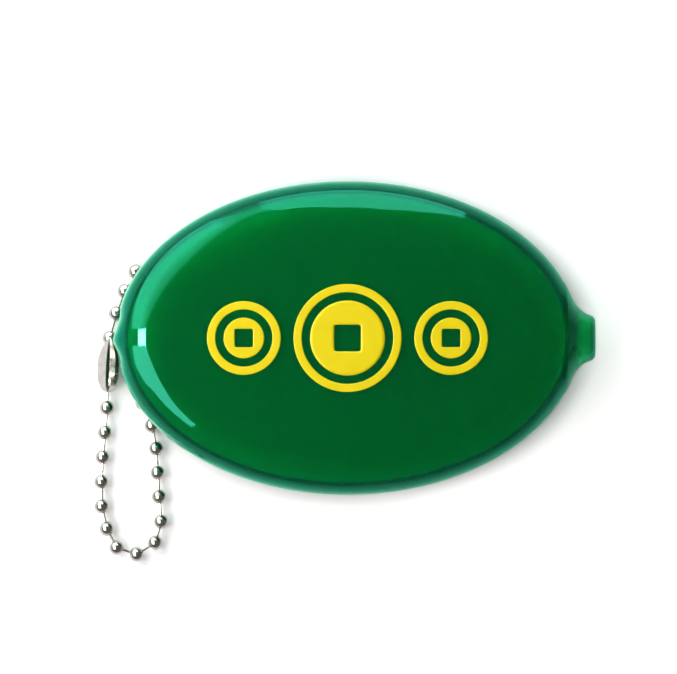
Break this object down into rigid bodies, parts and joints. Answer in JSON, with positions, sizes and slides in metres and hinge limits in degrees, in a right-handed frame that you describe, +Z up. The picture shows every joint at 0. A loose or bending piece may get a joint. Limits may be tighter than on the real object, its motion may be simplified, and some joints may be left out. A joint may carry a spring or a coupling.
{
  "type": "squeeze coin purse",
  "caption": "Oval squeeze coin purse of glossy moulded vinyl with a slit mouth on its back, a closed moulding nub and a ball chain joined by a small clasp.",
  "frame": {"origin": "middle of the flat resting face on the back, on the line of the slit", "axes": "+X along the oval to the moulding nub, +Y across the oval, +Z up from the table to the printed front"},
  "size_m": [0.0792, 0.0602, 0.0171],
  "materials": {
    "vinyl": "glossy translucent green",
    "ink": "printed yellow ink",
    "nickel_steel": "nickel plated"
  },
  "bodies": {
    "shell": {"front_shell": "vinyl", "front_print": "ink", "bead_01": "nickel_steel", "bead_02": "nickel_steel", "bead_03": "nickel_steel", "bead_04": "nickel_steel", "bead_05": "nickel_steel", "bead_06": "nickel_steel", "bead_07": "nickel_steel", "bead_08": "nickel_steel", "bead_09": "nickel_steel", "bead_10": "nickel_steel", "bead_11": "nickel_steel", "bead_12": "nickel_steel", "link_01": "nickel_steel", "link_02": "nickel_steel", "link_03": "nickel_steel", "link_04": "nickel_steel", "link_05": "nickel_steel", "link_06": "nickel_steel", "link_07": "nickel_steel", "link_08": "nickel_steel", "link_09": "nickel_steel", "link_10": "nickel_steel", "link_11": "nickel_steel"},
    "upper_lip": {"upper_lip": "vinyl"},
    "lower_lip": {"lower_lip": "vinyl"},
    "connector": {"chain_connector": "nickel_steel"},
    "loop_link": {"link_12": "nickel_steel"},
    "chain_right": {"bead_13": "nickel_steel", "bead_14": "nickel_steel", "bead_15": "nickel_steel", "link_13": "nickel_steel", "link_14": "nickel_steel"},
    "chain_bottom": {"link_15": "nickel_steel", "link_16": "nickel_steel", "link_17": "nickel_steel", "link_18": "nickel_steel", "link_19": "nickel_steel", "bead_16": "nickel_steel", "bead_17": "nickel_steel", "bead_18": "nickel_steel", "bead_19": "nickel_steel", "bead_20": "nickel_steel"},
    "chain_left": {"link_20": "nickel_steel", "link_21": "nickel_steel", "link_22": "nickel_steel", "link_23": "nickel_steel", "link_24": "nickel_steel", "link_25": "nickel_steel", "bead_21": "nickel_steel", "bead_22": "nickel_steel", "bead_23": "nickel_steel", "bead_24": "nickel_steel", "bead_25": "nickel_steel", "bead_26": "nickel_steel"}
  },
  "joints": [
    {"name": "back_mouth_open", "type": "hinge", "parent": "shell", "child": "upper_lip", "pos_m": [0, 0.0125, 0], "axis": [1, 0, 0], "range_deg": [0, 55], "stiffness_Nm_per_rad": 0.02},
    {"name": "back_mouth_follow", "type": "hinge", "parent": "shell", "child": "lower_lip", "pos_m": [0, -0.0125, 0], "axis": [-1, 0, 0], "range_deg": [0, 55], "stiffness_Nm_per_rad": 0.02},
    {"name": "connector_open", "type": "hinge", "parent": "shell", "child": "connector", "pos_m": [-0.0376, 0, 0.0012], "axis": [-0.9988, 0.0488, 0], "range_deg": [0, 30]},
    {"name": "chain_lift", "type": "hinge", "parent": "shell", "child": "loop_link", "pos_m": [-0.03071, -0.01495, 0.0012], "axis": [-0.6812, 0.7321, 0], "range_deg": [0, 35]},
    {"name": "chain_sway", "type": "hinge", "parent": "loop_link", "child": "chain_right", "pos_m": [-0.03044, -0.01643, 0.0012], "axis": [0, 0, 1], "range_deg": [-10, 10]},
    {"name": "chain_sway_bottom", "type": "hinge", "parent": "chain_right", "child": "chain_bottom", "pos_m": [-0.02967, -0.02621, 0.0012], "axis": [0, 0, 1], "range_deg": [-9.1, 9.1]},
    {"name": "chain_sway_left", "type": "hinge", "parent": "chain_bottom", "child": "chain_left", "pos_m": [-0.0383, -0.02909, 0.0012], "axis": [0, 0, 1], "range_deg": [-3.7, 3.7]}
  ],
  "couplings": [
    {"joint": "back_mouth_follow", "follows": "back_mouth_open", "ratio": 1},
    {"joint": "chain_sway_bottom", "follows": "chain_sway", "ratio": -0.8912},
    {"joint": "chain_sway_left", "follows": "chain_sway", "ratio": 0.3515}
  ]
}
